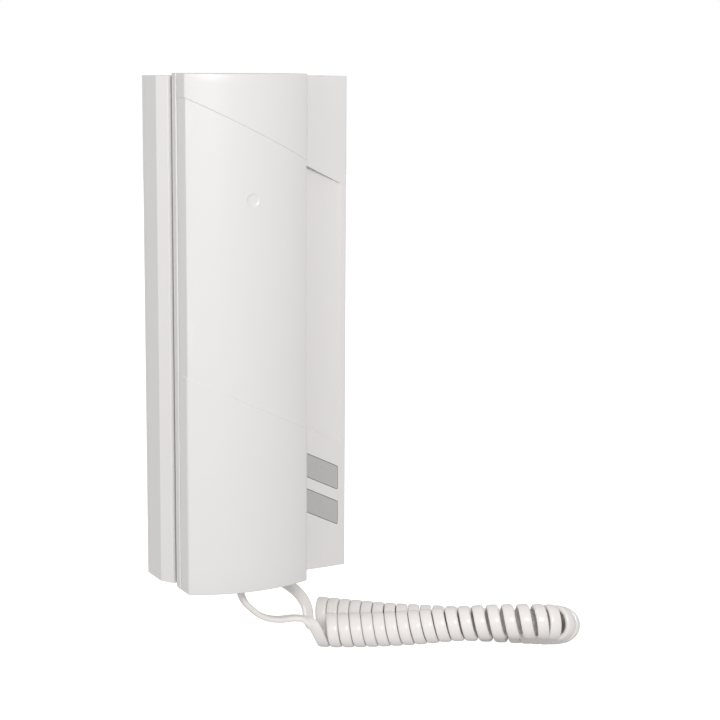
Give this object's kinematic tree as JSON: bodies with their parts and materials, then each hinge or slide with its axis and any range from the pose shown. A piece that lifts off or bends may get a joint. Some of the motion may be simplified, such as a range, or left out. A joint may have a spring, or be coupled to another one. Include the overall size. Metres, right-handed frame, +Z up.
{
  "type": "door entry handset telephone",
  "caption": "Slim wall-hung door-entry telephone: crowned upright handset resting on a shallow base, press buttons beside it, and a curly cord.",
  "frame": {"origin": "middle of the rear plate's wall face", "axes": "+Z up, +Y into the wall, +X to the viewer's right"},
  "size_m": [0.1713, 0.0915, 0.2499],
  "materials": {
    "white_shell": "glossy moulded ABS",
    "grey_button": "satin",
    "cord": "semi-gloss flexible PVC",
    "inner_plastic": "satin",
    "black_plastic": "satin",
    "clear_plastic": "clear polycarbonate",
    "circuit_board": "solder mask",
    "rubber": "matt",
    "foam": "open-cell foam",
    "steel": "zinc plated",
    "brass": "plain",
    "terminal_green": "satin",
    "wire_red": "PVC sleeve"
  },
  "bodies": {
    "root": {"rear_plate": "white_shell", "base_cover": "white_shell", "cover_screw": "steel", "main_board": "circuit_board", "board_screw_1": "steel", "board_screw_2": "steel", "board_screw_3": "steel", "board_screw_4": "steel", "terminal_block": "terminal_green", "terminal_screw_1": "brass", "terminal_screw_2": "brass", "terminal_screw_3": "brass", "terminal_screw_4": "brass", "terminal_screw_5": "brass", "hook_switch_body": "black_plastic", "hook_spring": "steel", "speech_chip": "black_plastic", "call_relay": "black_plastic", "capacitor_1": "black_plastic", "capacitor_2": "black_plastic", "harness_header": "inner_plastic", "key_board": "circuit_board", "key_board_screw_1": "steel", "key_board_screw_2": "steel", "call_key_switch": "black_plastic", "door_key_switch": "black_plastic", "call_sounder": "black_plastic", "base_socket": "black_plastic", "base_plug": "clear_plastic", "base_harness": "wire_red", "handset_lead": "cord", "cord_coil": "cord", "base_lead": "cord"},
    "handset": {"handset_front": "white_shell", "handset_back": "white_shell", "handset_screw_1": "steel", "handset_screw_2": "steel", "handset_screw_3": "steel", "earpiece_gasket": "foam", "earpiece_capsule": "black_plastic", "microphone_boot": "rubber", "microphone_capsule": "steel", "ballast_weight": "steel", "ballast_screw_1": "steel", "ballast_screw_2": "steel", "handset_socket": "black_plastic", "handset_plug": "clear_plastic", "earpiece_wires": "wire_red", "microphone_wires": "wire_red"},
    "hook_plunger": {"hook_plunger": "inner_plastic"},
    "call_button": {"call_button": "grey_button"},
    "door_button": {"door_button": "grey_button"}
  },
  "joints": [
    {"name": "handset_lift", "type": "slide", "parent": "root", "child": "handset", "axis": [0, -0.866, 0.5], "range_m": [0, 0.03]},
    {"name": "hook_plunger_slide", "type": "slide", "parent": "root", "child": "hook_plunger", "axis": [0, -1, 0], "range_m": [0, 0.0032], "deforming": ["hook_spring"]},
    {"name": "call_button_press", "type": "slide", "parent": "root", "child": "call_button", "axis": [0, 1, 0], "range_m": [0, 0.001], "stiffness_N_per_m": 1200, "springref_m": -0.0004},
    {"name": "door_button_press", "type": "slide", "parent": "root", "child": "door_button", "axis": [0, 1, 0], "range_m": [0, 0.001], "stiffness_N_per_m": 1200, "springref_m": -0.0004}
  ],
  "couplings": [
    {"joint": "hook_plunger_slide", "follows": "handset_lift", "ratio": 0.1066}
  ]
}
